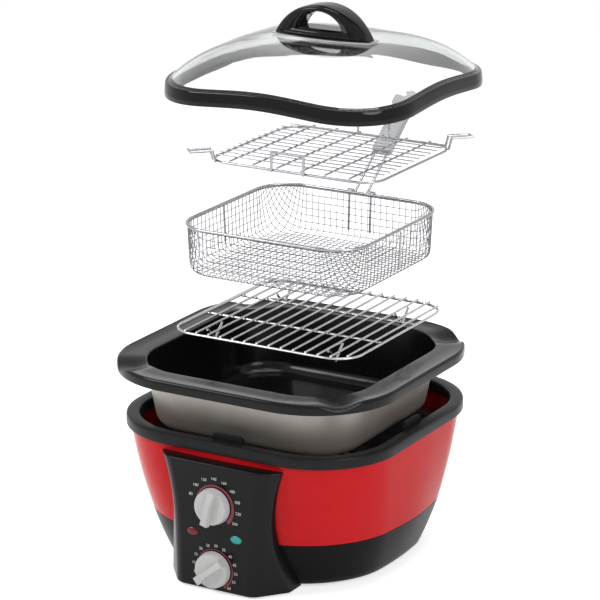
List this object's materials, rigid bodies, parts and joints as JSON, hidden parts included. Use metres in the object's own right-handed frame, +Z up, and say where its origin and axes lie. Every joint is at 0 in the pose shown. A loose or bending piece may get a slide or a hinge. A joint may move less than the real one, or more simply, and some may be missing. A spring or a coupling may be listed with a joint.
{
  "type": "countertop multicooker",
  "caption": "Square countertop multicooker: heated base with dials, lift-out pan, wire racks, frying basket with folding handle and lift-off domed glass lid.",
  "frame": {"origin": "on the table, under the middle of the base's well", "axes": "+Z up, the control panel faces -Y, +X to the right of a person facing the panel"},
  "size_m": [0.4035, 0.5055, 0.7202],
  "materials": {
    "black_plastic": "satin",
    "red_gloss": "gloss",
    "rim_plastic": "satin",
    "foot_rubber": "matte",
    "plain_steel": "satin",
    "wire_chrome": "bright",
    "mesh_steel": "satin",
    "power_red": "gloss",
    "ready_teal": "gloss",
    "lamp_glass": "clear",
    "cream_plastic": "matte",
    "copper": "satin",
    "shield_metal": "satin",
    "element_steel": "satin",
    "loom_cover": "matte",
    "inlet_plastic": "matte",
    "knob_grey": "satin",
    "pan_coat": "non-stick coat",
    "grip_grey": "satin",
    "lid_black": "gloss",
    "lid_clear": "clear"
  },
  "bodies": {
    "base": {"base_shell": "black_plastic", "red_band": "red_gloss", "rim_ring": "rim_plastic", "pan_supports": "black_plastic", "base_plate": "black_plastic", "foot_ring": "foot_rubber", "base_screws": "plain_steel", "control_panel": "black_plastic", "power_lens": "power_red", "ready_lens": "ready_teal", "power_lamp": "lamp_glass", "ready_lamp": "lamp_glass", "panel_nuts": "plain_steel", "thermostat_body": "cream_plastic", "thermostat_bulb": "copper", "timer_body": "cream_plastic", "heat_shield": "shield_metal", "heating_element": "element_steel", "element_clips": "plain_steel", "terminal_block": "cream_plastic", "wire_loom": "loom_cover", "power_inlet": "inlet_plastic", "inlet_pins": "plain_steel"},
    "temperature_dial": {"temperature_knob": "knob_grey", "temperature_shaft": "plain_steel"},
    "timer_dial": {"timer_knob": "knob_grey", "timer_shaft": "plain_steel"},
    "pan": {"pan": "pan_coat"},
    "roast_rack": {"roast_frame": "wire_chrome", "roast_legs": "wire_chrome", "roast_bars": "wire_chrome", "roast_cross_wires": "wire_chrome"},
    "basket": {"basket_mesh": "mesh_steel", "basket_rim": "wire_chrome", "basket_posts": "wire_chrome", "basket_eyes": "wire_chrome"},
    "basket_handle": {"handle_wire": "wire_chrome", "handle_grip": "grip_grey"},
    "grill_rack": {"grill_frame": "wire_chrome", "grill_ribs": "wire_chrome", "grill_wires": "wire_chrome", "grill_handles": "wire_chrome", "grill_hoops": "wire_chrome"},
    "lid": {"lid_rim": "lid_black", "lid_glass": "lid_clear", "lid_handle": "lid_black", "lid_handle_plate": "plain_steel", "lid_screw": "plain_steel", "lid_washer": "foot_rubber"}
  },
  "joints": [
    {"name": "temperature_turn", "type": "hinge", "parent": "base", "child": "temperature_dial", "pos_m": [0, -0.2055, 0.117], "axis": [0, 1, 0], "range_deg": [0, 290]},
    {"name": "timer_turn", "type": "hinge", "parent": "base", "child": "timer_dial", "pos_m": [0, -0.2055, 0.032], "axis": [0, 1, 0], "range_deg": [0, 280]},
    {"name": "pan_lift", "type": "slide", "parent": "base", "child": "pan", "axis": [-0.0719, -0.0415, 0.9965], "range_m": [-0.06021, 0]},
    {"name": "roast_rack_lift", "type": "slide", "parent": "pan", "child": "roast_rack", "axis": [0.1729, 0.0998, 0.9799], "range_m": [-0.11022, 0]},
    {"name": "basket_lift", "type": "slide", "parent": "roast_rack", "child": "basket", "axis": [0.0255, 0.0147, 0.9996], "range_m": [-0.06803, 0]},
    {"name": "grill_rack_lift", "type": "slide", "parent": "basket", "child": "grill_rack", "axis": [0.2355, 0.136, 0.9623], "range_m": [-0.0956, 0]},
    {"name": "lid_lift", "type": "slide", "parent": "grill_rack", "child": "lid", "axis": [-0.0993, -0.0573, 0.9934], "range_m": [-0.07852, 0]},
    {"name": "basket_handle_tilt", "type": "hinge", "parent": "basket", "child": "basket_handle", "pos_m": [0.01645, 0.14315, 0.4442], "axis": [1, 0, 0], "range_deg": [-38, 0]}
  ],
  "couplings": [
    {"joint": "basket_handle_tilt", "follows": "lid_lift", "rad_per_m": 8.4468}
  ]
}
